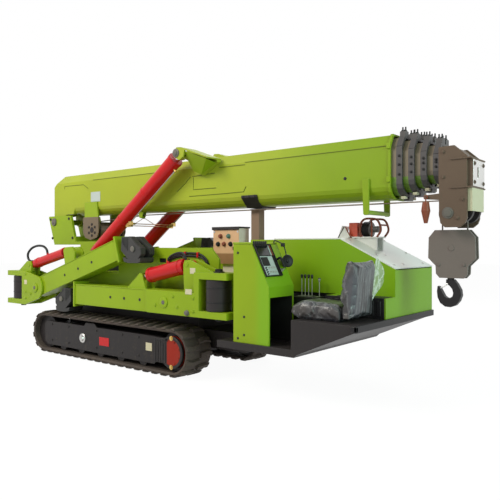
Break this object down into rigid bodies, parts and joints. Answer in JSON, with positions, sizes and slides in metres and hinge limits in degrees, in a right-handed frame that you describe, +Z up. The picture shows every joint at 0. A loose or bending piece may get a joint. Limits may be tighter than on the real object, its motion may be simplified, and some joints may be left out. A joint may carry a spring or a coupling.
{
  "type": "crawler crane",
  "caption": "Compact crawler crane on rubber tracks with a telescoping boom, luffing cylinders, hook block, folding outriggers, operator console, seat and engine hood.",
  "frame": {"origin": "on the ground, under the middle of the overall length and width", "axes": "+X towards the boom head, +Y towards the machine's left side, +Z up"},
  "size_m": [6.457, 1.64, 2.6019],
  "materials": {
    "black": "black paint",
    "box": "beige enamel",
    "cushion": "black seat cover in clear film",
    "dark": "satin dark grey paint",
    "orange": "orange-red paint",
    "paint": "gloss lime-green paint",
    "plastic": "black plastic",
    "red": "gloss red paint",
    "rod": "hard chrome",
    "rubber": "moulded rubber",
    "steel": "dark machined steel",
    "taupe": "grey-brown paint",
    "white": "white paint"
  },
  "bodies": {
    "chassis": {"track_right": "rubber", "track_left": "rubber", "track_frames": "dark", "track_wheels": "dark", "drive_covers": "orange", "carbody": "dark", "chassis_frame": "paint", "swing_posts": "black", "slew_ring": "steel", "deck": "dark", "console": "paint", "console_panel": "plastic", "hood": "paint", "hood_cover": "white", "engine_block": "dark", "oil_tank": "black", "levers": "black", "seat_cushion": "cushion", "seat_back": "cushion", "control_box": "box", "boom_rest": "taupe", "guard_reel": "red"},
    "turntable": {"turntable": "paint"},
    "boom": {"boom_base": "paint", "boom_saddle": "dark", "winch_frame": "taupe"},
    "winch": {"winch_drum": "steel"},
    "luff_barrel": {"luff_barrels": "red"},
    "luff_rod": {"luff_rods": "rod"},
    "section_2": {"boom_2": "taupe"},
    "section_3": {"boom_3": "taupe"},
    "section_4": {"boom_4": "taupe"},
    "section_5": {"boom_5": "taupe", "boom_head": "taupe", "head_sheaves": "steel"},
    "hook_hang": {"hook_block": "taupe"},
    "hook": {"hook": "steel"},
    "weight": {"limit_weight": "red"},
    "swing_rf": {"bracket_rf": "paint"},
    "leg_rf": {"arm_rf": "paint"},
    "foot_rf": {"foot_rf": "black"},
    "leg_barrel_rf": {"leg_barrel_rf": "red"},
    "leg_rod_rf": {"leg_rod_rf": "rod"},
    "swing_lf": {"bracket_lf": "paint"},
    "leg_lf": {"arm_lf": "paint"},
    "foot_lf": {"foot_lf": "black"},
    "leg_barrel_lf": {"leg_barrel_lf": "red"},
    "leg_rod_lf": {"leg_rod_lf": "rod"},
    "swing_rr": {"bracket_rr": "paint"},
    "leg_rr": {"arm_rr": "paint"},
    "foot_rr": {"foot_rr": "black"},
    "leg_barrel_rr": {"leg_barrel_rr": "red"},
    "leg_rod_rr": {"leg_rod_rr": "rod"},
    "swing_lr": {"bracket_lr": "paint"},
    "leg_lr": {"arm_lr": "paint"},
    "foot_lr": {"foot_lr": "black"},
    "leg_barrel_lr": {"leg_barrel_lr": "red"},
    "leg_rod_lr": {"leg_rod_lr": "rod"}
  },
  "joints": [
    {"name": "slew", "type": "hinge", "parent": "chassis", "child": "turntable", "pos_m": [-1.8935, 0, 1.2], "axis": [0, 0, 1], "continuous": true},
    {"name": "luff", "type": "hinge", "parent": "turntable", "child": "boom", "pos_m": [-2.8865, 0, 1.8], "axis": [0, -1, 0], "range_deg": [0, 75]},
    {"name": "luff_barrel", "type": "hinge", "parent": "turntable", "child": "luff_barrel", "pos_m": [-1.6985, 0, 1.362], "axis": [0, -1, 0], "range_deg": [0, 73.47]},
    {"name": "luff_rod", "type": "slide", "parent": "luff_barrel", "child": "luff_rod", "axis": [0.8103, 0, 0.586], "range_m": [0, 1.5419]},
    {"name": "extend_2", "type": "slide", "parent": "boom", "child": "section_2", "axis": [1, 0, 0], "range_m": [0, 3.9]},
    {"name": "extend_3", "type": "slide", "parent": "section_2", "child": "section_3", "axis": [1, 0, 0], "range_m": [0, 3.9]},
    {"name": "extend_4", "type": "slide", "parent": "section_3", "child": "section_4", "axis": [1, 0, 0], "range_m": [0, 3.9]},
    {"name": "extend_5", "type": "slide", "parent": "section_4", "child": "section_5", "axis": [1, 0, 0], "range_m": [0, 3.9]},
    {"name": "winch", "type": "hinge", "parent": "boom", "child": "winch", "pos_m": [-1.9935, 0, 1.668], "axis": [0, 1, 0], "continuous": true},
    {"name": "hook_hang", "type": "hinge", "parent": "section_5", "child": "hook_hang", "pos_m": [3.0225, 0, 1.736], "axis": [0, -1, 0], "range_deg": [-75, 0]},
    {"name": "hook_swivel", "type": "hinge", "parent": "hook_hang", "child": "hook", "pos_m": [2.9865, 0, 1.158], "axis": [0, 0, 1], "continuous": true},
    {"name": "weight_hang", "type": "hinge", "parent": "section_5", "child": "weight", "pos_m": [2.8315, -0.19, 1.88], "axis": [0, -1, 0], "range_deg": [-75, 0]},
    {"name": "swing_rf", "type": "hinge", "parent": "chassis", "child": "swing_rf", "pos_m": [0.8065, -0.68, 0.7], "axis": [0, 0, 1], "range_deg": [0, 120]},
    {"name": "lower_rf", "type": "hinge", "parent": "swing_rf", "child": "leg_rf", "pos_m": [0.1065, -0.68, 0.828], "axis": [0, -1, 0], "range_deg": [0, 16.7]},
    {"name": "level_rf", "type": "hinge", "parent": "leg_rf", "child": "foot_rf", "pos_m": [-1.8985, -0.68, 0.748], "axis": [0, 1, 0], "range_deg": [0, 16.7]},
    {"name": "tilt_rf", "type": "hinge", "parent": "swing_rf", "child": "leg_barrel_rf", "pos_m": [0.4065, -0.68, 1.245], "axis": [0, -1, 0], "range_deg": [0, 8.58]},
    {"name": "stroke_rf", "type": "slide", "parent": "leg_barrel_rf", "child": "leg_rod_rf", "axis": [-0.9798, 0, -0.1998], "range_m": [0, 0.0938]},
    {"name": "swing_lf", "type": "hinge", "parent": "chassis", "child": "swing_lf", "pos_m": [0.8065, 0.68, 0.7], "axis": [0, 0, -1], "range_deg": [0, 120]},
    {"name": "lower_lf", "type": "hinge", "parent": "swing_lf", "child": "leg_lf", "pos_m": [0.1065, 0.68, 0.828], "axis": [0, -1, 0], "range_deg": [0, 16.7]},
    {"name": "level_lf", "type": "hinge", "parent": "leg_lf", "child": "foot_lf", "pos_m": [-1.8985, 0.68, 0.748], "axis": [0, 1, 0], "range_deg": [0, 16.7]},
    {"name": "tilt_lf", "type": "hinge", "parent": "swing_lf", "child": "leg_barrel_lf", "pos_m": [0.4065, 0.68, 1.245], "axis": [0, -1, 0], "range_deg": [0, 8.58]},
    {"name": "stroke_lf", "type": "slide", "parent": "leg_barrel_lf", "child": "leg_rod_lf", "axis": [-0.9798, 0, -0.1998], "range_m": [0, 0.0938]},
    {"name": "swing_rr", "type": "hinge", "parent": "chassis", "child": "swing_rr", "pos_m": [-3.0135, -0.68, 0.62], "axis": [0, 0, -1], "range_deg": [0, 120]},
    {"name": "lower_rr", "type": "hinge", "parent": "swing_rr", "child": "leg_rr", "pos_m": [-2.4935, -0.68, 0.87], "axis": [0, 1, 0], "range_deg": [0, 34]},
    {"name": "level_rr", "type": "hinge", "parent": "leg_rr", "child": "foot_rr", "pos_m": [-0.44753, -0.68, 1.41186], "axis": [0, -1, 0], "range_deg": [0, 34]},
    {"name": "tilt_rr", "type": "hinge", "parent": "swing_rr", "child": "leg_barrel_rr", "pos_m": [-2.7435, -0.68, 1.18], "axis": [0, 1, 0], "range_deg": [0, 25.66]},
    {"name": "stroke_rr", "type": "slide", "parent": "leg_barrel_rr", "child": "leg_rod_rr", "axis": [0.9757, 0, 0.2189], "range_m": [0, 0.1821]},
    {"name": "swing_lr", "type": "hinge", "parent": "chassis", "child": "swing_lr", "pos_m": [-3.0135, 0.68, 0.62], "axis": [0, 0, 1], "range_deg": [0, 120]},
    {"name": "lower_lr", "type": "hinge", "parent": "swing_lr", "child": "leg_lr", "pos_m": [-2.4935, 0.68, 0.87], "axis": [0, 1, 0], "range_deg": [0, 34]},
    {"name": "level_lr", "type": "hinge", "parent": "leg_lr", "child": "foot_lr", "pos_m": [-0.44753, 0.68, 1.41186], "axis": [0, -1, 0], "range_deg": [0, 34]},
    {"name": "tilt_lr", "type": "hinge", "parent": "swing_lr", "child": "leg_barrel_lr", "pos_m": [-2.7435, 0.68, 1.18], "axis": [0, 1, 0], "range_deg": [0, 25.66]},
    {"name": "stroke_lr", "type": "slide", "parent": "leg_barrel_lr", "child": "leg_rod_lr", "axis": [0.9757, 0, 0.2189], "range_m": [0, 0.1821]}
  ],
  "couplings": [
    {"joint": "luff_barrel", "follows": "luff", "ratio": 0.97899},
    {"joint": "luff_rod", "follows": "luff", "m_per_rad": 1.1764},
    {"joint": "extend_3", "follows": "extend_2", "ratio": 1},
    {"joint": "extend_4", "follows": "extend_2", "ratio": 1},
    {"joint": "extend_5", "follows": "extend_2", "ratio": 1},
    {"joint": "hook_hang", "follows": "luff", "ratio": -1},
    {"joint": "weight_hang", "follows": "luff", "ratio": -1},
    {"joint": "lower_rf", "follows": "swing_rf", "ratio": 0.13875},
    {"joint": "level_rf", "follows": "swing_rf", "ratio": 0.13875},
    {"joint": "tilt_rf", "follows": "swing_rf", "ratio": 0.071054},
    {"joint": "stroke_rf", "follows": "swing_rf", "m_per_rad": 0.044304},
    {"joint": "lower_lf", "follows": "swing_lf", "ratio": 0.13875},
    {"joint": "level_lf", "follows": "swing_lf", "ratio": 0.13875},
    {"joint": "tilt_lf", "follows": "swing_lf", "ratio": 0.071054},
    {"joint": "stroke_lf", "follows": "swing_lf", "m_per_rad": 0.044304},
    {"joint": "lower_rr", "follows": "swing_rr", "ratio": 0.28292},
    {"joint": "level_rr", "follows": "swing_rr", "ratio": 0.28292},
    {"joint": "tilt_rr", "follows": "swing_rr", "ratio": 0.21338},
    {"joint": "stroke_rr", "follows": "swing_rr", "m_per_rad": 0.086465},
    {"joint": "lower_lr", "follows": "swing_lr", "ratio": 0.28292},
    {"joint": "level_lr", "follows": "swing_lr", "ratio": 0.28292},
    {"joint": "tilt_lr", "follows": "swing_lr", "ratio": 0.21338},
    {"joint": "stroke_lr", "follows": "swing_lr", "m_per_rad": 0.086465}
  ]
}
